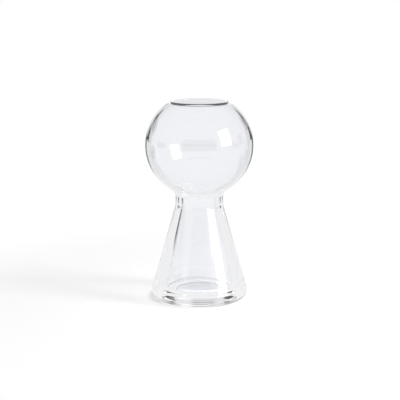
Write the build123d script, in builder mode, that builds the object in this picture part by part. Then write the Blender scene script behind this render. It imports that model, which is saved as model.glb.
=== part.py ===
from build123d import *
import os
from math import atan2, degrees, sqrt

# Glass bud vase: a blown globe with an open mouth, on a hollow cone with a heavy foot.
#
# Sizes are in millimetres. Z is up, and the origin is on the table at the middle of the foot.
# The vase is turned about Z. Its whole wall is drawn once, as a half section, and each piece of
# glass is the stretch of that wall between two joints, so neighbours always meet face to face.

# Globe: an upright ellipse, a little wider than tall, cut off by the mouth
globe_diameter = 68.0
globe_height = 65.4
globe_wall = 1.7
mouth_diameter = 35.8  # to the middle of the rounded lip
lip_thickness = 2.1
lip_blend = 1.2  # curve that runs the lip's bead out into the wall

# Neck: the straight throat between the globe and the cone
neck_diameter = 30.2
neck_height = 10.8
neck_wall = 4.6
globe_cove = 6.0  # outer curve from the neck up into the globe
throat_flare = 4.8  # inner curve from the globe down into the throat
cone_cove = 10.0  # outer curve from the neck down into the cone
throat_cove = 8.0  # inner curve from the throat down into the cone
collar_margin = 3.0  # the neck ring's rim stands this far out from the neck, past the cove

# Cone: thick glass, thickest at the bottom, where its cavity is widest
cone_height = 51.4
cone_foot_diameter = 59.9
cone_wall = 8.45  # measured level at the bottom; at the top the wall is as thick as the neck's

# Foot: a low disc of glass with a rounded edge, dished inside and hollowed underneath
foot_height = 8.5
foot_overhang = 0.65  # the foot's side stands this far out past the bottom of the cone
foot_shoulder_rise = 1.5  # from the top of the foot's side up to the bottom of the cone
floor_thickness = 5.0
floor_curve = 4.0  # inner curve from the floor up into the cone
foot_edge = 4.2  # outer curve from the side down to the standing ring
foot_shoulder = 0.9  # outer curve from the side up to the cone
seam_curve = 0.5  # curve in the shallow groove between the foot and the cone
recess_diameter = 31.4  # hollow underneath; the vase stands on the flat ring round it
recess_depth = 0.8
recess_slope = 1.5

# Places that follow from the sizes above
globe_radius = globe_diameter / 2
globe_half_height = globe_height / 2
neck_radius = neck_diameter / 2
throat_radius = neck_radius - neck_wall
cone_foot_radius = cone_foot_diameter / 2
foot_radius = cone_foot_radius + foot_overhang
recess_radius = recess_diameter / 2
cone_bottom = foot_height
foot_side_top = foot_height - foot_shoulder_rise
neck_bottom = cone_bottom + cone_height
neck_top = neck_bottom + neck_height


def rise(radius, half_width, half_height):
    """Height above an upright ellipse's centre at which the ellipse has this radius."""
    return half_height * sqrt(1 - (radius / half_width) ** 2)


globe_centre = neck_top + rise(neck_radius + collar_margin, globe_radius, globe_half_height)

# The lip's round bead is centred in the globe's wall
middle_radius = globe_radius - globe_wall / 2
middle_half_height = globe_half_height - globe_wall / 2
lip_radius = mouth_diameter / 2
lip_rise = rise(lip_radius, middle_radius, middle_half_height)
lip_centre = globe_centre + lip_rise
lip_slope = atan2(lip_radius * middle_half_height**2, lip_rise * middle_radius**2)
lip_bead_radius = lip_thickness / 2
total_height = lip_centre + lip_bead_radius

# Inside of the cone
cone_cavity_radius = cone_foot_radius - cone_wall
cavity_taper = (cone_cavity_radius - throat_radius) / cone_height
floor_radius = cone_cavity_radius + (cone_bottom - floor_thickness) * cavity_taper

reach = 2 * max(globe_diameter, 2 * foot_radius, total_height)  # wider than the whole section


def corner(sketch, radius, height):
    """The sketch's corner nearest to a point of the section."""
    return sketch.vertices().sort_by_distance((radius, height, 0))[0]


def keep_one_side():
    """Cut away what a half section has on the far side of the axis."""
    with Locations((0, 0)):
        Rectangle(reach, 2 * reach, align=(Align.MAX, Align.CENTER), mode=Mode.SUBTRACT)


# Outside of the vase, from the table to the top of the globe
with BuildSketch() as outside:
    with BuildLine():
        Polyline(
            (0, 0),
            (foot_radius, 0),
            (foot_radius, foot_side_top),
            (cone_foot_radius, cone_bottom),
            (neck_radius, neck_bottom),
            (neck_radius, globe_centre),
            (0, globe_centre),
            close=True,
        )
    make_face()
    with Locations((0, globe_centre)):
        Ellipse(globe_radius, globe_half_height)
    keep_one_side()
    globe_meets_neck = globe_centre - rise(neck_radius, globe_radius, globe_half_height)
    fillet(corner(outside, neck_radius, globe_meets_neck), globe_cove)
    fillet(corner(outside, neck_radius, neck_bottom), cone_cove)
    fillet(corner(outside, cone_foot_radius, cone_bottom), seam_curve)
    fillet(corner(outside, foot_radius, foot_side_top), foot_shoulder)
    fillet(corner(outside, foot_radius, 0), foot_edge)

# Space inside the vase, from the floor to the top of the globe
with BuildSketch() as inside:
    cavity_radius = globe_radius - globe_wall
    cavity_half_height = globe_half_height - globe_wall
    with BuildLine():
        Polyline(
            (0, floor_thickness),
            (floor_radius, floor_thickness),
            (throat_radius, neck_bottom),
            (throat_radius, globe_centre),
            (0, globe_centre),
            close=True,
        )
    make_face()
    with Locations((0, globe_centre)):
        Ellipse(cavity_radius, cavity_half_height)
    keep_one_side()
    globe_meets_throat = globe_centre - rise(throat_radius, cavity_radius, cavity_half_height)
    fillet(corner(inside, throat_radius, globe_meets_throat), throat_flare)
    fillet(corner(inside, throat_radius, neck_bottom), throat_cove)
    fillet(corner(inside, floor_radius, floor_thickness), floor_curve)

# Hollow under the foot: a shallow recess with a sloping side
with BuildSketch() as underside:
    with BuildLine():
        Polyline(
            (0, 0),
            (recess_radius, 0),
            (recess_radius - recess_slope, recess_depth),
            (0, recess_depth),
            close=True,
        )
    make_face()

# The whole wall: cut square to itself at the mouth and closed there by the lip's round bead
with BuildSketch() as wall:
    add(outside.sketch)
    add(inside.sketch, mode=Mode.SUBTRACT)
    add(underside.sketch, mode=Mode.SUBTRACT)
    with Locations(Location((lip_radius, lip_centre), -degrees(lip_slope))):
        Rectangle(reach, reach, align=(Align.MAX, Align.CENTER), mode=Mode.SUBTRACT)
    with Locations((lip_radius, lip_centre)):
        Circle(lip_bead_radius)
    bead_corners = wall.vertices().sort_by_distance((lip_radius, lip_centre, 0))[:2]
    fillet(bead_corners, lip_blend)


def stretch(low, high):
    """The wall between two heights, stood upright on the XZ plane."""
    with BuildSketch(Plane.XZ) as piece:
        add(wall.sketch)
        with Locations((0, low)):
            Rectangle(reach, high - low, align=(Align.CENTER, Align.MIN), mode=Mode.INTERSECT)
    return piece.sketch


# Foot disc: the floor of the cone, the rounded side and the ring that the vase stands on
with BuildPart() as foot_disc:
    add(stretch(0, cone_bottom))
    revolve(axis=Axis.Z)
foot_disc.part.label = "foot_disc"

# Cone: the hollow stem, open at both ends
with BuildPart() as cone:
    add(stretch(cone_bottom, neck_bottom))
    revolve(axis=Axis.Z)
cone.part.label = "cone"

# Neck ring: the thick collar round the open throat, which joins the globe to the cone
with BuildPart() as neck_ring:
    add(stretch(neck_bottom, neck_top))
    revolve(axis=Axis.Z)
neck_ring.part.label = "neck_ring"

# Globe: the blown bowl with its lip
with BuildPart() as globe:
    add(stretch(neck_top, total_height + lip_thickness))
    revolve(axis=Axis.Z)
globe.part.label = "globe"

print(f"vase is {total_height:.2f} high, globe centre {globe_centre:.2f}, lip centre {lip_centre:.2f}")
print(f"cavity radius is {floor_radius:.2f} at the floor")

os.makedirs("parts", exist_ok=True)
export_step(foot_disc.part, "parts/foot_disc.step")
export_step(cone.part, "parts/cone.step")
export_step(neck_ring.part, "parts/neck_ring.step")
export_step(globe.part, "parts/globe.step")
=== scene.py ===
from math import atan2, cos, pi, radians, sin, tan

import bpy
import numpy as np
from bpy.props import FloatProperty, FloatVectorProperty, IntProperty, PointerProperty
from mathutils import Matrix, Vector


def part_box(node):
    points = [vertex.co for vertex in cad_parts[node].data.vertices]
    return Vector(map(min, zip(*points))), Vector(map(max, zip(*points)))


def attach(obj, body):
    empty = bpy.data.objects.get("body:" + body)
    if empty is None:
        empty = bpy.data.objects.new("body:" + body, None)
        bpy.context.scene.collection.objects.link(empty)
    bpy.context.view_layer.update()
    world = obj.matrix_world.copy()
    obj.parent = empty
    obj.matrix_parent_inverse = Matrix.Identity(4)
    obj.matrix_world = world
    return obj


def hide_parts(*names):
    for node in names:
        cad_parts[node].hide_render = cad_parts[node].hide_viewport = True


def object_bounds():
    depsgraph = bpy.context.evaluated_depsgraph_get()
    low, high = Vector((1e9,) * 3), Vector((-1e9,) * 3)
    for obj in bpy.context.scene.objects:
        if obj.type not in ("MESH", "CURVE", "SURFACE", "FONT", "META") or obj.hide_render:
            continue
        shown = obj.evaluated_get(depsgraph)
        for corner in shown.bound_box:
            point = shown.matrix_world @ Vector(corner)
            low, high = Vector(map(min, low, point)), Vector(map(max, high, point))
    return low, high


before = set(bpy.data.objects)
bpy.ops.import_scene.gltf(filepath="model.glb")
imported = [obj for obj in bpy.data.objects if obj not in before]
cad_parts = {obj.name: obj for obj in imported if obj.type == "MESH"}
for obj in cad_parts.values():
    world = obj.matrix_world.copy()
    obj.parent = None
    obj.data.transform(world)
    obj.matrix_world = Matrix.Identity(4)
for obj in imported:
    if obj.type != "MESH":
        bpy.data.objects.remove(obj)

bl_info = {
    "name": "Glass bud vase",
    "version": (1, 0, 0),
    "blender": (4, 5, 0),
    "location": "3D View > Sidebar > Vase",
    "description": "Turns a clear glass bud vase from its wall's half section, and sets it in a white studio",
    "category": "Add Mesh",
}

CAD_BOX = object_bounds()
ROOT = "root"
MM = 0.001
EASE = radians(2)  # half the width of the soft edge of what stands in the room

RIPPLES = (60, 60, 25)  # waves of unevenness in a metre, longer up the vase than round it
PASSED_FACE_ON = (0.97, 0.97, 0.97)  # what a face of glass lets through to the table
PASSED_EDGE_ON = (0.45, 0.46, 0.47)
PAPER = (0.8, 0.8, 0.8)
WHITE = (1, 1, 1)

# Where the lip's painted shade starts and ends, in radii of the mouth: sideways, then from front to back
LIP_DEEPENS = (0.1, 0.8)
LIP_TIPS = (0.92, 1.02)
LIP_FRONT_ENDS = (-0.3, 0.0)
LIP_BACK_STARTS = (-0.05, 0.05)
# Half the width of the soft edges of the painted shade and the painted glow, in lip thicknesses
SHADE_EDGE = 0.05
GLOW_EDGE = 0.1

# The painted contact shadow beside the foot fades out under it between these radii.
UNDER_FOOT = (0.55, 0.85)  # where the shade beside the foot begins, in radii of the foot
IMAGES_BEGIN = (0.75, 1.25)  # soft start of the cards' images in the table, round its setting
SOFTBOX_EDGE = 0.03  # half its soft edge, in half widths of the softbox
FACES_IN_ROOM = 3.5  # light that crossed fewer faces of glass than this sees the room
RIM_POINTS = 96  # corners of the round table
FAR_CLIP = 10.0  # metres


# ---------------------------------------------------------------------------------------------
# Settings


def length(name, default, description):
    """A length in metres."""
    return FloatProperty(
        name=name, description=description, default=default, min=0.0, unit="LENGTH", precision=5
    )


def number(name, default, description, most=1.0):
    """A plain number from 0 to most."""
    return FloatProperty(name=name, description=description, default=default, min=0.0, max=most)


def angle(name, default, description):
    """An angle, with its default in degrees."""
    return FloatProperty(
        name=name, description=description, default=radians(default), subtype="ANGLE"
    )


def span(name, default, description):
    """Two angles, with their defaults in degrees."""
    ends = [radians(end) for end in default]
    return FloatVectorProperty(
        name=name, description=description, default=ends, size=2, unit="ROTATION"
    )


def colour(name, default, description):
    """A colour."""
    return FloatVectorProperty(
        name=name, description=description, default=default, subtype="COLOR", size=3, min=0.0, max=1.0
    )


class WallSizes(bpy.types.PropertyGroup):
    """Sizes of the glass wall. The heights of the joints and the outer widths come from the frame."""

    globe_height: length("Globe height", 65.4 * MM, "Height that the globe would have if it were closed")
    globe_wall: length("Globe wall", 1.7 * MM, "Thickness of the globe's glass")
    mouth_width: length("Mouth width", 35.8 * MM, "Across the mouth, to the middle of the lip")
    lip_thickness: length("Lip thickness", 2.1 * MM, "Thickness of the lip's round bead")
    lip_blend: length("Lip blend", 1.2 * MM, "Curve that runs the bead out into the wall")
    neck_width: length("Neck width", 30.2 * MM, "Across the outside of the neck")
    neck_wall: length("Neck wall", 4.6 * MM, "Thickness of the glass round the open throat")
    globe_cove: length("Globe cove", 6.0 * MM, "Outer curve from the neck up into the globe")
    throat_flare: length("Throat flare", 4.8 * MM, "Inner curve from the globe down into the throat")
    cone_cove: length("Cone cove", 10.0 * MM, "Outer curve from the neck down into the cone")
    throat_cove: length("Throat cove", 8.0 * MM, "Inner curve from the throat down into the cone")
    cone_wall: length("Cone wall", 8.45 * MM, "Thickness of the glass at the bottom of the cone")
    floor_height: length("Floor height", 5.0 * MM, "Height of the inner floor above the table")
    floor_curve: length("Floor curve", 4.0 * MM, "Inner curve from the floor up into the cone")
    foot_side: length("Foot side", 7.0 * MM, "Height of the top of the foot's upright side")
    foot_edge: length("Foot edge", 4.2 * MM, "Curve from the foot's side down to the standing ring")
    foot_shoulder: length("Foot shoulder", 0.9 * MM, "Curve from the foot's side up to the cone")
    seam_curve: length("Seam curve", 0.5 * MM, "Curve in the groove between the foot and the cone")
    recess_width: length("Recess width", 31.4 * MM, "Across the hollow under the foot")
    recess_depth: length("Recess depth", 0.8 * MM, "Depth of the hollow under the foot")
    recess_slope: length("Recess slope", 1.5 * MM, "Width of the slope into the hollow")
    recess_curve: length("Recess curve", 0.3 * MM, "Softening of both edges of that slope")
    segments: IntProperty(
        name="Segments", description="Faces round the vase", default=256, min=16, max=512
    )


class GlassFinish(bpy.types.PropertyGroup):
    """How the glass looks, with the painted shade and the painted glow of its lip."""

    tint: colour("Tint", (0.946, 0.950, 0.966), "What a wall of the glass gives to light, face on")
    edge_tint: colour("Edge tint", (0.62, 0.64, 0.68), "The glass where it is seen edge on")
    index: number("Refractive index", 1.5, "How strongly the glass bends light", most=3.0)
    polish: number("Polish", 0.0, "Roughness of the fire-polished surface")
    ripple: length("Ripple", 0.02 * MM, "Depth of the slow unevenness of blown glass")
    # The next five settings give the lip's painted shade in front and its painted glow at the back.
    lip_painted_shade: colour("Lip shade", (0.01, 0.01, 0.015), "Colour of the lip's dark front, set by hand")
    lip_front: number("Lip shade front", 0.25, "Depth of that dark edge in front, in lip thicknesses")
    lip_sides: number("Lip shade sides", 0.54, "Its depth at both sides, in lip thicknesses")
    lip_back: number("Lip glow depth", 0.85, "Depth of the light back of the lip, in thicknesses")
    lip_painted_glow: number("Lip glow", 0.68, "Brightness of the lip's light back, set by hand")


class StudioSettings(bpy.types.PropertyGroup):
    """Camera, table and light."""

    camera_distance: length("Camera distance", 0.7124, "From the middle of the vase to the camera")
    camera_aside: length("Camera aside", 0.44 * MM, "How far to the right of the axis the camera aims")
    camera_pitch: angle("Camera pitch", 11.3, "How far the camera looks down")
    camera_lens: FloatProperty(
        name="Lens", description="Focal length on a 36 mm sensor", default=100.9, unit="CAMERA"
    )
    table_radius: length("Table radius", 1.4, "Radius of the round white table")
    table_glow: number("Table glow", 0.30, "Brightness of the table that no shadow takes away")
    fade_start: length("Fade start", 0.08, "Distance where the table starts to fade to plain white")
    fade_end: length("Fade end", 0.22, "Distance where the table is plain white")
    # Strength and reach of the table's painted contact shadow.
    painted_shadow: number("Contact shadow", 0.24, "How much less the table glows close to the foot")
    painted_shadow_reach: length("Contact reach", 5.0 * MM, "How far that shadow goes out from the foot")
    fill: number("Fill", 0.27, "Brightness of the light from all round that falls on the table")
    key: number("Key", 26.0, "Power of the key light on the table, in watts", most=1000.0)
    key_azimuth: angle("Key azimuth", -19.0, "Direction of the key light, from +X towards +Y")
    key_height: angle("Key height", 22.0, "Height of the key light above the horizon")
    key_size: length("Key size", 0.4, "Width of the key light")
    key_distance: length("Key distance", 1.3, "From the vase to the key light")
    softbox_azimuth: angle("Softbox azimuth", -29.1, "Direction of the softbox, from +X towards +Y")
    softbox_height: angle("Softbox height", 19.8, "Height of the softbox above the horizon")
    softbox_width: angle("Softbox width", 25.0, "Angle from side to side, seen from the vase")
    softbox_tall: angle("Softbox tall", 33.0, "Angle from bottom to top, seen from the vase")
    softbox_glare: number("Softbox glare", 5.8, "Brightness of the softbox in reflections", most=100.0)


class RoomSettings(bpy.types.PropertyGroup):
    """The room that the glass mirrors and bends, with its cards placed by trial.

    Azimuths are from straight behind the vase towards the right, and heights are above the horizon.
    """

    dark: number("Dark", 0.05, "Brightness of the dark cards")
    wall: number("Wall", 0.82, "Brightness of the walls and the ceiling")
    table: number("Table", 0.92, "Brightness of the table in the glass")
    left_high: span("Left high card", (-58, -22), "Azimuths of the high dark card on the left")
    right_high: span("Right high card", (22, 44), "Azimuths of the high dark card on the right")
    high_heights: span("High cards' heights", (7, 18), "Heights of the high cards' edges")
    left_low: span("Left low card", (-42, -24), "Azimuths of the low dark card on the left")
    right_low: span("Right low card", (20, 34), "Azimuths of the low dark card on the right")
    side_low: span("Side card", (-102, -78), "Azimuths of the low dark card on the left side")
    low_top: angle("Low cards' top", 5.0, "Height of the low cards' top edge")
    left_foot: span("Left reflection", (-27, -12), "Azimuths of the left card's image in the table")
    right_foot: span("Right reflection", (12, 27), "Azimuths of the right card's image in the table")
    side_foot: span("Side reflection", (-74, -57), "Azimuths of the side card's image in the table")
    foot_start: length("Reflection start", 0.30, "How far out on the table those images start")
    low_card: span("Low card", (-12, 6), "Azimuths of the dark bar straight behind")
    low_heights: span("Low card heights", (4, 10), "Heights of its two edges")
    lamp: span("Back lamp", (-12, 18), "Azimuths of the soft lamp high up behind")
    lamp_heights: span("Back lamp heights", (17, 25), "Heights of its two edges")
    lamp_glare: number("Back lamp glare", 2.1, "Brightness of the back lamp", most=100.0)
    front: angle("Front", 142.0, "Azimuth past which the front of the room is dark")
    front_top: angle("Front top", 12.0, "Height of the dark front's top edge")


def settings(name):
    """One of the scene's groups of settings."""
    return getattr(bpy.context.scene, name)


# ---------------------------------------------------------------------------------------------
# The wall's half section
#
# A run is an array with a row for each point: its radius and height, and the two parts of the
# normal that points out of the glass. Runs go with the glass on their left, and where one follows
# another, both have the same normal.


def line(start, end, step=1.5 * MM):
    """Straight run: points evenly spaced from start to end, normals square to it on the right."""
    start, end = np.array(start, float), np.array(end, float)
    reach = np.linalg.norm(end - start)
    along = np.linspace(0, 1, 1 + int(np.ceil(reach / step)))[:, None]
    points = start + along * (end - start)
    right = np.array([end[1] - start[1], start[0] - end[0]]) / reach
    return np.hstack([points, np.broadcast_to(right, points.shape)])


def arc(centre, start, end, bulge, over=False, step=radians(3.5)):
    """Round run: the centre plus a radius turned from start to end, the short way or over.

    bulge is 1 where the centre is on the glass's side, so that normals point away from it, and -1
    where the centre is outside the glass.
    """
    centre = np.array(centre, float)
    first, last = np.array(start, float) - centre, np.array(end, float) - centre
    turn = atan2(first[0] * last[1] - first[1] * last[0], first @ last)
    if over:
        turn -= 2 * pi * np.sign(turn)
    turned = np.linspace(0, turn, 3 + int(abs(turn) / step)) + atan2(first[1], first[0])
    way = np.stack([np.cos(turned), np.sin(turned)], axis=1)
    return np.hstack([centre + np.linalg.norm(first) * way, bulge * way])


def rounded(points, radii):
    """Straight runs between points, with an arc of the given radius in each corner between them.

    An arc touches both its runs, so it starts and ends its radius times the tangent of half the
    turn away from the corner.
    """
    points = [np.array(p, float) for p in points]
    runs, start = [], points[0]
    for before, corner, after, radius in zip(points, points[1:], points[2:], radii, strict=False):
        arriving = (corner - before) / np.linalg.norm(corner - before)
        leaving = (after - corner) / np.linalg.norm(after - corner)
        turn = atan2(arriving[0] * leaving[1] - arriving[1] * leaving[0], arriving @ leaving)
        side = np.sign(turn)
        cut = radius * tan(abs(turn) / 2)
        first, last = corner - cut * arriving, corner + cut * leaving
        centre = first + side * radius * np.array([-arriving[1], arriving[0]])
        runs += [line(start, first), arc(centre, first, last, side)]
        start = last
    return [*runs, line(start, points[-1])]


class Oval:
    """An upright ellipse on the vase's axis, with points given by the angle up from its equator."""

    def __init__(self, centre, half_width, half_height):
        self.centre = centre
        self.half_width = half_width
        self.half_height = half_height

    def normals(self, turned):
        """Normals: the other axis's length times the cosine and sine, made one long."""
        across = self.half_height * np.cos(turned)
        up = self.half_width * np.sin(turned)
        return np.stack([across, up], axis=-1) / np.hypot(across, up)[..., None]

    def points(self, turned, out=0.0):
        """Points: half widths times the cosine and sine, moved out along the normal."""
        flat = np.stack([self.half_width * np.cos(turned), self.half_height * np.sin(turned)], axis=-1)
        return flat + [0, self.centre] + out * self.normals(turned)

    def run(self, start, end, side, step=radians(1.5)):
        """Run between two angles. side is 1 with the glass inside the oval, and -1 outside it."""
        turned = np.linspace(start, end, 1 + int(np.ceil(abs(end - start) / step)))
        return np.hstack([self.points(turned), side * self.normals(turned)])

    def nearest(self, low, high, out, miss):
        """The angle between low and high whose point, moved out, misses its aim by the least."""
        turned = np.linspace(low, high, 20001)
        return turned[np.argmin(np.abs(miss(self.points(turned, out))))]


def cove(oval, radius, curve, bulge):
    """Arc that touches an upright line at a radius and the oval above it.

    Its centre is the curve's radius out from the oval and as far out from the line. Returns the
    run from the line up to the oval, and the angle on the oval where it ends.
    """
    touch = oval.nearest(-1.5, -0.1, curve, lambda p: p[:, 0] - radius - curve)
    centre = oval.points(touch, curve)
    return arc(centre, (radius, centre[1]), oval.points(touch), bulge), touch


def lip_runs(outer, inner, size):
    """The rounded lip: a bead in the middle of the wall, with a curve on each side into the wall.

    The bead's centre is where the middle of the wall has the mouth's radius. The centre of each
    curve is that curve's radius off the wall, and the two radii together off the bead's centre.
    Returns the three runs and the angles on both ovals where they start and end.
    """
    middle = Oval(outer.centre, outer.half_width - size.globe_wall / 2,
                  outer.half_height - size.globe_wall / 2)
    turned = np.arccos(size.mouth_width / 2 / middle.half_width)
    bead_centre = middle.points(turned)
    bead = size.lip_thickness / 2
    apart = bead + size.lip_blend

    def blend(oval, out):
        found = oval.nearest(
            turned - 0.2, turned, out, lambda p: np.linalg.norm(p - bead_centre, axis=1) - apart
        )
        centre = oval.points(found, out)
        return found, centre, centre + (bead_centre - centre) * size.lip_blend / apart

    up, outer_centre, outer_end = blend(outer, size.lip_blend)
    down, inner_centre, inner_end = blend(inner, -size.lip_blend)
    runs = [
        arc(outer_centre, outer.points(up), outer_end, -1),
        arc(bead_centre, outer_end, inner_end, 1, over=True),
        arc(inner_centre, inner_end, inner.points(down), -1),
    ]
    return runs, up, down


def half_section():
    """The wall in two halves, both from the axis up to the top of the lip: outer face, inner face."""
    size = settings("vase_wall")
    foot_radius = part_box("foot_disc")[1].x
    cone_bottom, neck_bottom, neck_top = joint_heights()
    cone_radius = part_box("cone")[1].x
    joint_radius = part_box("neck_ring")[1].x
    neck_radius = size.neck_width / 2
    throat_radius = neck_radius - size.neck_wall
    recess_radius = size.recess_width / 2

    half_width, half_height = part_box("globe")[1].x, size.globe_height / 2
    centre = neck_top + half_height * (1 - (joint_radius / half_width) ** 2) ** 0.5
    outer = Oval(centre, half_width, half_height)
    inner = Oval(centre, half_width - size.globe_wall, half_height - size.globe_wall)
    lip, outer_end, inner_end = lip_runs(outer, inner, size)
    outer_cove, outer_start = cove(outer, neck_radius, size.globe_cove, -1)
    flare, inner_start = cove(inner, throat_radius, size.throat_flare, 1)

    cavity_radius = cone_radius - size.cone_wall
    taper = (cavity_radius - throat_radius) / (neck_bottom - cone_bottom)
    floor_radius = cavity_radius + (cone_bottom - size.floor_height) * taper

    outside = rounded(
        [
            (0, size.recess_depth),
            (recess_radius - size.recess_slope, size.recess_depth),
            (recess_radius, 0),
            (foot_radius, 0),
            (foot_radius, size.foot_side),
            (cone_radius, cone_bottom),
            (neck_radius, neck_bottom),
            outer_cove[0, :2],
        ],
        [
            size.recess_curve,
            size.recess_curve,
            size.foot_edge,
            size.foot_shoulder,
            size.seam_curve,
            size.cone_cove,
        ],
    )
    inside = rounded(
        [flare[0, :2], (throat_radius, neck_bottom), (floor_radius, size.floor_height),
         (0, size.floor_height)],
        [size.throat_cove, size.floor_curve],
    )
    over = outer.run(outer_start, outer_end, 1)
    under = inner.run(inner_end, inner_start, -1)
    whole = joined([*outside, outer_cove, over, *lip, under, flare[::-1], *inside])
    top = int(np.argmax(whole[:, 1]))
    return whole[: top + 1], whole[: top - 1 : -1]


def joined(runs):
    """Runs in order as one, with each meeting point kept once."""
    rows = np.concatenate(runs)
    gaps = np.linalg.norm(np.diff(rows[:, :2], axis=0), axis=1)
    return rows[np.concatenate([[True], gaps > 1e-4 * MM])]


def joint_heights():
    """Heights of the joints: foot and cone, cone and neck ring, neck ring and globe."""
    return [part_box(node)[0].z for node in ("cone", "neck_ring", "globe")]


def stretch(half, low=None, high=None):
    """The part of a half section between two heights, with a point put in at each of them."""

    def cut(height):
        last = np.nonzero(half[:, 1] < height)[0][-1]
        below, above = half[last], half[last + 1]
        row = below + (above - below) * (height - below[1]) / (above[1] - below[1])
        row[2:] /= np.linalg.norm(row[2:])
        return last, row

    first, head = (0, half[:0]) if low is None else cut(low)
    last, tail = (len(half) - 1, half[:0]) if high is None else cut(high)
    body = half[first + (low is not None) : last + 1]
    return np.vstack([head, body, tail])


# ---------------------------------------------------------------------------------------------
# Turned pieces


def turned_piece(name, outer, inner, body_finish, joint_finish, joints):
    """A piece turned about the axis from its stretches of the wall's outer and inner face.

    The surface is the loop of both stretches, carried round a full circle: the point at distance s
    along the loop and angle t is (radius(s) cos t, radius(s) sin t, height(s)). Where both
    stretches end at a joint, a flat ring joins them, in the joint's own finish. A stretch that
    starts on the axis is closed there with a fan of triangles.
    """
    count = settings("vase_wall").segments
    loop = np.vstack([outer, inner[::-1][int("top" not in joints) :]])
    ring_after = {len(outer) - 1} if "top" in joints else set()
    if "bottom" in joints:
        ring_after.add(len(loop) - 1)
    on_axis = loop[:, 0] < 1e-9
    turn = np.arange(count) * 2 * pi / count
    circle = np.stack([np.cos(turn), np.sin(turn)], axis=1)

    def spun(columns):
        """Radial and upright parts of each row, carried round the circle."""
        flat = columns[:, None, 0, None] * circle
        return np.concatenate([flat, np.broadcast_to(columns[:, None, 1, None], (*flat.shape[:2], 1))], 2)

    places, normals = spun(loop[:, :2]), spun(loop[:, 2:])
    index = np.arange(len(loop) * count).reshape(len(loop), count)
    index[on_axis] = index[on_axis][:, :1]
    rows = np.arange(len(loop) if "bottom" in joints else len(loop) - 1)
    after = (rows + 1) % len(loop)
    beside = np.roll(index, -1, axis=1)
    corners = np.stack([index[rows], beside[rows], beside[after], index[after]], axis=-1)
    ways = np.roll(normals, -1, axis=1)
    corner_ways = np.stack([normals[rows], ways[rows], ways[after], normals[after]], axis=-2)
    finish = np.zeros(corners.shape[:2], int)
    for row in ring_after:
        corner_ways[row] = (0, 0, 1 if row == len(outer) - 1 else -1)
        finish[row] = 1

    corners, corner_ways, finish = corners.reshape(-1, 4), corner_ways.reshape(-1, 4, 3), finish.ravel()
    kept = corners != np.roll(corners, 1, axis=1)
    used, compact = np.unique(corners, return_inverse=True)
    loops = compact.reshape(-1, 4)[kept]
    sizes = kept.sum(axis=1)

    mesh = bpy.data.meshes.new(name)
    mesh.vertices.add(len(used))
    mesh.vertices.foreach_set("co", places.reshape(-1, 3)[used].astype(np.float32).ravel())
    mesh.loops.add(len(loops))
    mesh.loops.foreach_set("vertex_index", loops.astype(np.int32))
    mesh.polygons.add(len(sizes))
    mesh.polygons.foreach_set("loop_start", np.concatenate([[0], np.cumsum(sizes)[:-1]]).astype(np.int32))
    mesh.update(calc_edges=True)
    mesh.materials.append(body_finish)
    mesh.materials.append(joint_finish)
    mesh.polygons.foreach_set("material_index", finish.astype(np.int32))
    mesh.polygons.foreach_set("use_smooth", np.ones(len(sizes), bool))
    mesh.normals_split_custom_set(corner_ways[kept].astype(np.float32))
    mesh.validate()
    piece = bpy.data.objects.new(name, mesh)
    bpy.context.scene.collection.objects.link(piece)
    return piece


# ---------------------------------------------------------------------------------------------
# Finishes


class Value:
    """A node's output that can be used in sums. Each sum adds a Math node."""

    def __init__(self, bench, socket):
        self.bench = bench
        self.socket = socket

    def maths(self, operation, first, second):
        return self.bench.node("ShaderNodeMath", {"operation": operation}, {0: first, 1: second})

    def __add__(self, other):
        return self.maths("ADD", self, other)

    __radd__ = __add__

    def __sub__(self, other):
        return self.maths("SUBTRACT", self, other)

    def __rsub__(self, other):
        return self.maths("SUBTRACT", other, self)

    def __mul__(self, other):
        return self.maths("MULTIPLY", self, other)

    __rmul__ = __mul__

    def __truediv__(self, other):
        return self.maths("DIVIDE", self, other)

    def __rtruediv__(self, other):
        return self.maths("DIVIDE", other, self)

    def __pow__(self, other):
        return self.maths("POWER", self, other)

    def __gt__(self, other):
        return self.maths("GREATER_THAN", self, other)

    def __lt__(self, other):
        return self.maths("LESS_THAN", self, other)

    def __abs__(self):
        return self.bench.node("ShaderNodeMath", {"operation": "ABSOLUTE"}, {0: self})


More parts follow.
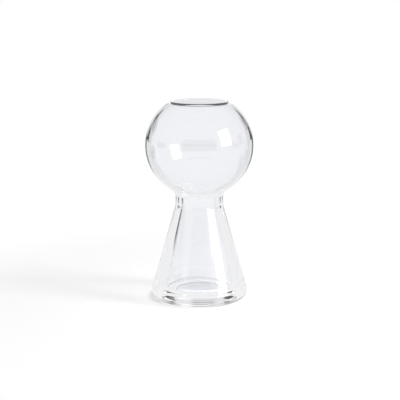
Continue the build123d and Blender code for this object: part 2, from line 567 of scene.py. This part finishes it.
class Bench:
    """Where a node tree is put together."""

    def __init__(self, tree):
        self.tree = tree
        self.tree.nodes.clear()

    def node(self, kind, choices=None, inputs=None, output=0):
        """A node of a kind: its choices are set first, then each input's value or link."""
        made = self.tree.nodes.new(kind)
        for choice, value in (choices or {}).items():
            setattr(made, choice, value)
        for key, value in (inputs or {}).items():
            if isinstance(value, Value):
                self.tree.links.new(value.socket, made.inputs[key])
            else:
                made.inputs[key].default_value = value
        return Value(self, made.outputs[output]) if made.outputs else made

    def smooth_step(self, value, start, end):
        """0 below start, 1 above end, and a smooth rise between them."""
        return self.node(
            "ShaderNodeMapRange",
            {"interpolation_type": "SMOOTHSTEP"},
            {"Value": value, "From Min": start, "From Max": end},
        )

    def within(self, value, low, high):
        """1 for an angle between low and high, and 0 outside, with both edges softened."""
        rising = self.smooth_step(value, low - EASE, low + EASE)
        return rising - self.smooth_step(value, high - EASE, high + EASE)

    def within_any(self, value, *spans):
        """1 for an angle inside any of the spans, which do not overlap, and 0 outside them all."""
        return sum((self.within(value, *span) for span in spans[1:]), self.within(value, *spans[0]))

    def distance(self, place, centre):
        """How far a place is from a centre."""
        inputs = {0: place, 1: centre}
        return self.node("ShaderNodeVectorMath", {"operation": "DISTANCE"}, inputs, output="Value")

    def most(self, first, second):
        """The greater of two values."""
        return self.node("ShaderNodeMath", {"operation": "MAXIMUM"}, {0: first, 1: second})

    def mix(self, factor, first, second):
        """A shader that goes from first to second."""
        return self.node("ShaderNodeMixShader", {}, {0: factor, 1: first, 2: second})

    def blend(self, factor, first, second):
        """A colour that goes from first to second."""
        return self.node(
            "ShaderNodeMix",
            {"data_type": "RGBA"},
            {"Factor": factor, 6: opaque(first), 7: opaque(second)},
            output=2,
        )


def opaque(paint):
    """A plain colour with its alpha, and a link as it is."""
    return paint if isinstance(paint, Value) else (*paint, 1.0)


def lip_light(bench, place):
    """The lip's painted dark front and its painted light back, each 1 where it is and 0 elsewhere.

    Both are painted: a painted shade in front and a painted glow at the back, since traced alone
    this lip is light in front and dark at the back. They are set by place, so they stay with the
    vase when it is seen from elsewhere. The painted shade runs round the front half, deeper at both
    sides than at the front. The painted glow is the bead of the back half.
    """
    size, finish = settings("vase_wall"), settings("vase_finish")
    across, behind, up = (
        bench.node("ShaderNodeSeparateXYZ", {}, {0: place}, output=axis) for axis in "XYZ"
    )
    aside = abs(across) / (size.mouth_width / 2)
    behind = behind / (size.mouth_width / 2)
    deep = (CAD_BOX[1].z - up) / size.lip_thickness
    deeper = finish.lip_sides - finish.lip_front
    reach = finish.lip_front + deeper * bench.smooth_step(aside, *LIP_DEEPENS)
    front = 1 - bench.smooth_step(behind, *LIP_FRONT_ENDS)
    back = bench.smooth_step(behind, *LIP_BACK_STARTS)
    tips = 1 - bench.smooth_step(aside, *LIP_TIPS)
    dark = bench.smooth_step(reach - deep, -SHADE_EDGE, SHADE_EDGE) * front * tips
    below = bench.smooth_step(deep, finish.lip_back - GLOW_EDGE, finish.lip_back + GLOW_EDGE)
    return dark, (1 - below) * back


def clear_glass(name, lip):
    """Clear blown glass, a little darker and cooler where it is seen edge on.

    Its surface has a slow ripple, and light on its way to a lamp passes through it, less of it
    near the edges. With lip, the glass has the painted shade and the painted glow of the vase's lip.
    """
    finish = settings("vase_finish")
    material = bpy.data.materials.new(name)
    material.use_nodes = True
    bench = Bench(material.node_tree)
    place = bench.node("ShaderNodeTexCoord", output="Object")
    stretched = bench.node(
        "ShaderNodeMapping", {"vector_type": "POINT"}, {"Vector": place, "Scale": RIPPLES}
    )
    ripple = bench.node("ShaderNodeTexNoise", {}, {"Vector": stretched, "Scale": 1.0, "Detail": 2.0})
    relief = bench.node(
        "ShaderNodeBump", {}, {"Height": ripple, "Strength": 1.0, "Distance": finish.ripple}
    )
    edge = bench.node("ShaderNodeLayerWeight", {}, {"Blend": 0.5}, output="Facing")
    look = {
        "Base Color": bench.blend(edge**4, tuple(finish.tint), tuple(finish.edge_tint)),
        "Roughness": finish.polish,
        "IOR": finish.index,
        "Transmission Weight": 1.0,
        "Normal": relief,
    }
    if lip:
        # Painted shade darkens the lip's front and a painted glow lights its back bead: both darken the base
        # colour, and the glow also goes into the emission.
        dark, glow = lip_light(bench, place)
        shaded = bench.most(dark, glow)
        look["Base Color"] = bench.blend(shaded, look["Base Color"], tuple(finish.lip_painted_shade))
        look["Emission Color"] = bench.blend(glow, (0, 0, 0), (finish.lip_painted_glow,) * 3)
        look["Emission Strength"] = 1.0
    body = bench.node("ShaderNodeBsdfPrincipled", {}, look)
    through = bench.node("ShaderNodeBsdfTransparent", {}, {"Color": opaque(PASSED_FACE_ON)})
    dimmed = bench.node("ShaderNodeBsdfTransparent", {}, {"Color": opaque(PASSED_EDGE_ON)})
    lamp_ray = bench.node("ShaderNodeLightPath", output="Is Shadow Ray")
    surface = bench.mix(lamp_ray, body, bench.mix(edge**3, through, dimmed))
    bench.node("ShaderNodeOutputMaterial", {}, {"Surface": surface})
    return material


def fused_joint():
    """The face between two pieces of glass that were joined hot: nothing of it shows."""
    material = bpy.data.materials.get("fused_joint")
    if material is None:
        material = bpy.data.materials.new("fused_joint")
        material.use_nodes = True
        bench = Bench(material.node_tree)
        clear = bench.node("ShaderNodeBsdfTransparent", {}, {"Color": opaque(WHITE)})
        bench.node("ShaderNodeOutputMaterial", {}, {"Surface": clear})
    return material


def white_table():
    """The table's white: part of it glows near the vase, and all of it farther off.

    So shadows on it stay light, and it runs into the white backdrop. A painted contact shadow makes
    it glow less close to the foot, on the side away from the key light. What the glass mirrors is a
    plain table with painted reflections of the low cards.
    """
    studio, room = settings("vase_studio"), settings("vase_room")
    material = bpy.data.materials.new("white_table")
    material.use_nodes = True
    bench = Bench(material.node_tree)

    def glow(strength):
        return bench.node("ShaderNodeEmission", {}, {"Color": opaque(WHITE), "Strength": strength})

    place = bench.node("ShaderNodeTexCoord", output="Object")
    foot_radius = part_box("foot_disc")[1].x
    # Painted contact shadow: the table glows less in a ring round the foot, moved away from the key light.
    reach = studio.painted_shadow_reach
    shade_centre = -reach * direction(studio.key_azimuth, 0.0)
    far = bench.distance(place, (0, 0, 0))
    from_shade = bench.distance(place, tuple(shade_centre))
    unshaded = bench.most(
        bench.smooth_step(from_shade, foot_radius - reach, foot_radius),
        1 - bench.smooth_step(far, *(share * foot_radius for share in UNDER_FOOT)),
    )
    glowing = bench.mix(unshaded, glow(studio.table_glow - studio.painted_shadow), glow(studio.table_glow))
    paper = bench.node("ShaderNodeBsdfDiffuse", {}, {"Color": opaque(PAPER)})
    near = bench.node("ShaderNodeAddShader", {}, {0: glowing, 1: paper})
    lit = bench.mix(bench.smooth_step(far, studio.fade_start, studio.fade_end), near, glow(1.0))
    mirrored = bench.mix(cards_on_table(bench, place), glow(room.table), glow(room.dark))
    surface = bench.mix(in_room(bench), lit, mirrored)
    bench.node("ShaderNodeOutputMaterial", {}, {"Surface": surface})
    return material


# ---------------------------------------------------------------------------------------------
# Pieces


class MakesPiece:
    """What the operators that make a piece share.

    A class names its piece, the CAD node that the piece stands for and its slot. lip is true for
    the piece that ends in the vase's lip, whose glass gets the painted shade and painted glow.
    """

    bl_options = {"REGISTER", "UNDO"}
    piece = None
    node = None
    slot = None
    lip = False

    def make(self, outer, inner, joints):
        """Turn the piece, let it ride on the vase's body, and let it stand for its CAD node."""
        glass = clear_glass(self.slot, self.lip)
        piece = turned_piece(self.piece, outer, inner, glass, fused_joint(), joints)
        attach(piece, ROOT)
        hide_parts(self.node)
        return {"FINISHED"}


class VASE_OT_blown_globe(MakesPiece, bpy.types.Operator):
    """Turn the globe with its rounded lip"""

    bl_idname = "vase.blown_globe"
    bl_label = "Blown Globe"
    piece = "blown_globe"
    node = "globe"
    slot = "globe_glass"
    lip = True

    def execute(self, context):
        outer, inner = half_section()
        _, _, neck_top = joint_heights()
        return self.make(stretch(outer, low=neck_top), stretch(inner, low=neck_top), {"bottom"})


class VASE_OT_neck_collar(MakesPiece, bpy.types.Operator):
    """Turn the thick collar round the throat"""

    bl_idname = "vase.neck_collar"
    bl_label = "Neck Collar"
    piece = "neck_collar"
    node = "neck_ring"
    slot = "neck_glass"

    def execute(self, context):
        _, low, high = joint_heights()
        outer, inner = (stretch(half, low, high) for half in half_section())
        return self.make(outer, inner, {"bottom", "top"})


class VASE_OT_hollow_cone(MakesPiece, bpy.types.Operator):
    """Turn the hollow cone"""

    bl_idname = "vase.hollow_cone"
    bl_label = "Hollow Cone"
    piece = "hollow_cone"
    node = "cone"
    slot = "cone_glass"

    def execute(self, context):
        low, high, _ = joint_heights()
        outer, inner = (stretch(half, low, high) for half in half_section())
        return self.make(outer, inner, {"bottom", "top"})


class VASE_OT_heavy_foot(MakesPiece, bpy.types.Operator):
    """Turn the low foot with its floor and the recess underneath"""

    bl_idname = "vase.heavy_foot"
    bl_label = "Heavy Foot"
    piece = "heavy_foot"
    node = "foot_disc"
    slot = "foot_glass"

    def execute(self, context):
        high, _, _ = joint_heights()
        outer, inner = (stretch(half, high=high) for half in half_section())
        return self.make(outer, inner, {"top"})


# ---------------------------------------------------------------------------------------------
# Studio


def direction(azimuth, height):
    """The unit vector with an azimuth from +X towards +Y and a height above the horizon."""
    return Vector((cos(azimuth) * cos(height), sin(azimuth) * cos(height), sin(height)))


def patch_of_light(bench, way, towards, width, height):
    """1 inside an upright oblong of sky round a direction, and 0 outside it.

    A way is in the oblong where its parts across and up, over its part towards the middle, are
    less than the tangents of half the oblong's angles.
    """
    across = towards.cross(Vector((0, 0, 1))).normalized()
    up = across.cross(towards)

    def along(axis):
        return bench.node("ShaderNodeVectorMath", {"operation": "DOT_PRODUCT"},
                          {0: way, 1: tuple(axis)}, output="Value")

    facing = along(towards)
    inside = facing > 0
    for axis, spread in ((across, width), (up, height)):
        share_out = abs(along(axis) / facing) / tan(spread / 2)
        inside = inside * (1 - bench.smooth_step(share_out, 1 - SOFTBOX_EDGE, 1 + SOFTBOX_EDGE))
    return inside


def in_room(bench):
    """1 for light that the glass mirrored, or that went only through solid glass, and 0 otherwise.

    Light that crossed the hollow vase has been through glass four times or more. It sees white all
    round, so that the vase stays clear from every side.
    """
    mirrored = bench.node("ShaderNodeLightPath", output="Glossy Depth") > 0.5
    through = bench.node("ShaderNodeLightPath", output="Transmission Depth")
    return bench.most(mirrored, (through > 0.5) * (through < FACES_IN_ROOM))


def turn_of(bench, way):
    """A way's azimuth, from straight behind the vase towards the right."""
    across = bench.node("ShaderNodeSeparateXYZ", {}, {0: way}, output="X")
    behind = bench.node("ShaderNodeSeparateXYZ", {}, {0: way}, output="Y")
    return bench.node("ShaderNodeMath", {"operation": "ARCTAN2"}, {0: across, 1: behind})


def cards_in_room(bench, way):
    """1 in directions where a dark card stands, and 0 elsewhere, and the same for the back lamp."""
    room = settings("vase_room")
    turn = turn_of(bench, way)
    up = bench.node("ShaderNodeSeparateXYZ", {}, {0: way}, output="Z")
    height = bench.node("ShaderNodeMath", {"operation": "ARCSINE"}, {0: up})

    def below(top):
        return 1 - bench.smooth_step(height, top - EASE, top + EASE)

    high = bench.within_any(turn, room.left_high, room.right_high)
    high = high * bench.within(height, *room.high_heights)
    low = bench.within_any(turn, room.left_low, room.right_low, room.side_low) * below(room.low_top)
    bar = bench.within(turn, *room.low_card) * bench.within(height, *room.low_heights)
    front = bench.smooth_step(abs(turn), room.front - EASE, room.front + EASE) * below(room.front_top)
    dark = bench.most(bench.most(high, low), bench.most(bar, front))
    lamp = bench.within(turn, *room.lamp) * bench.within(height, *room.lamp_heights)
    return dark, lamp


def cards_on_table(bench, place):
    """1 at places on the table that mirror a low card, and 0 elsewhere."""
    room = settings("vase_room")
    images = bench.within_any(
        turn_of(bench, place), room.left_foot, room.right_foot, room.side_foot
    )
    far = bench.distance(place, (0, 0, 0))
    return images * bench.smooth_step(far, *(share * room.foot_start for share in IMAGES_BEGIN))


def light_the_world():
    """White all round, and a room with dark cards and two lamps for what the glass mirrors."""
    studio, room = settings("vase_studio"), settings("vase_room")
    world = bpy.data.worlds.new("studio")
    bpy.context.scene.world = world
    world.use_nodes = True
    bench = Bench(world.node_tree)

    def white(strength):
        return bench.node("ShaderNodeBackground", {}, {"Color": opaque(WHITE), "Strength": strength})

    way = bench.node("ShaderNodeTexCoord", output="Generated")
    dark, lamp = cards_in_room(bench, way)
    towards = direction(studio.softbox_azimuth, studio.softbox_height)
    softbox = patch_of_light(bench, way, towards, studio.softbox_width, studio.softbox_tall)
    seen = bench.mix(dark, white(room.wall), white(room.dark))
    seen = bench.mix(lamp, seen, white(room.lamp_glare))
    seen = bench.mix(softbox, seen, white(studio.softbox_glare))
    from_table = bench.node("ShaderNodeLightPath", output="Diffuse Depth") > 0.5
    backdrop = bench.mix(from_table, white(1.0), white(studio.fill))
    surface = bench.mix(in_room(bench), backdrop, seen)
    bench.node("ShaderNodeOutputWorld", {}, {"Surface": surface})


class VASE_OT_studio(bpy.types.Operator):
    """Set up the camera, the white table and the soft light"""

    bl_idname = "vase.studio"
    bl_label = "White Studio"
    bl_options = {"REGISTER", "UNDO"}

    def execute(self, context):
        scene, studio = context.scene, settings("vase_studio")
        low, high = CAD_BOX
        aim = (low + high) / 2
        aim.x += studio.camera_aside

        camera = bpy.data.objects.new("camera", bpy.data.cameras.new("camera"))
        camera.data.lens = studio.camera_lens
        camera.data.clip_end = FAR_CLIP
        back = direction(-pi / 2, studio.camera_pitch)
        camera.location = aim + studio.camera_distance * back
        camera.rotation_euler = (-back).to_track_quat("-Z", "Y").to_euler()
        scene.collection.objects.link(camera)
        scene.camera = camera

        turn = np.arange(RIM_POINTS) * 2 * pi / RIM_POINTS
        rim = np.stack([np.cos(turn), np.sin(turn), np.zeros_like(turn)], axis=1) * studio.table_radius
        sheet = bpy.data.meshes.new("table")
        sheet.from_pydata(rim.tolist(), [], [tuple(range(len(rim)))])
        sheet.materials.append(white_table())
        table = bpy.data.objects.new("table", sheet)
        scene.collection.objects.link(table)

        way = direction(studio.key_azimuth, studio.key_height)
        key = bpy.data.lights.new("key", "AREA")
        key.size = studio.key_size
        key.energy = studio.key
        lamp = bpy.data.objects.new("key", key)
        lamp.location = way * studio.key_distance + Vector((0, 0, aim.z))
        lamp.rotation_euler = (-way).to_track_quat("-Z", "Y").to_euler()
        lamp.visible_camera = False
        lamp.visible_glossy = False
        lamp.visible_transmission = False
        scene.collection.objects.link(lamp)

        light_the_world()
        scene.view_settings.view_transform = "Standard"
        scene.cycles.max_bounces = 32
        scene.cycles.transmission_bounces = 24
        scene.cycles.glossy_bounces = 16
        scene.cycles.transparent_max_bounces = 64
        return {"FINISHED"}


class VASE_PT_panel(bpy.types.Panel):
    """The vase's pieces and its studio"""

    bl_idname = "VASE_PT_panel"
    bl_label = "Glass Bud Vase"
    bl_space_type = "VIEW_3D"
    bl_region_type = "UI"
    bl_category = "Vase"

    def draw(self, context):
        for operator in OPERATORS:
            self.layout.operator("vase." + operator.__name__.split("_OT_")[1])
        for name, group in GROUPS.items():
            box = self.layout.box()
            box.label(text=name.replace("_", " ").capitalize())
            for setting in group.__annotations__:
                box.prop(getattr(context.scene, name), setting)


GROUPS = {
    "vase_wall": WallSizes,
    "vase_finish": GlassFinish,
    "vase_studio": StudioSettings,
    "vase_room": RoomSettings,
}
OPERATORS = (
    VASE_OT_studio,
    VASE_OT_heavy_foot,
    VASE_OT_hollow_cone,
    VASE_OT_neck_collar,
    VASE_OT_blown_globe,
)


def register():
    for cls in (*GROUPS.values(), *OPERATORS, VASE_PT_panel):
        bpy.utils.register_class(cls)
    for name, group in GROUPS.items():
        setattr(bpy.types.Scene, name, PointerProperty(type=group))


def unregister():
    for name in GROUPS:
        delattr(bpy.types.Scene, name)
    for cls in reversed((*GROUPS.values(), *OPERATORS, VASE_PT_panel)):
        bpy.utils.unregister_class(cls)


def main():
    register()
    for operator in OPERATORS:
        getattr(bpy.ops.vase, operator.__name__.split("_OT_")[1])()


if __name__ == "__main__":
    main()
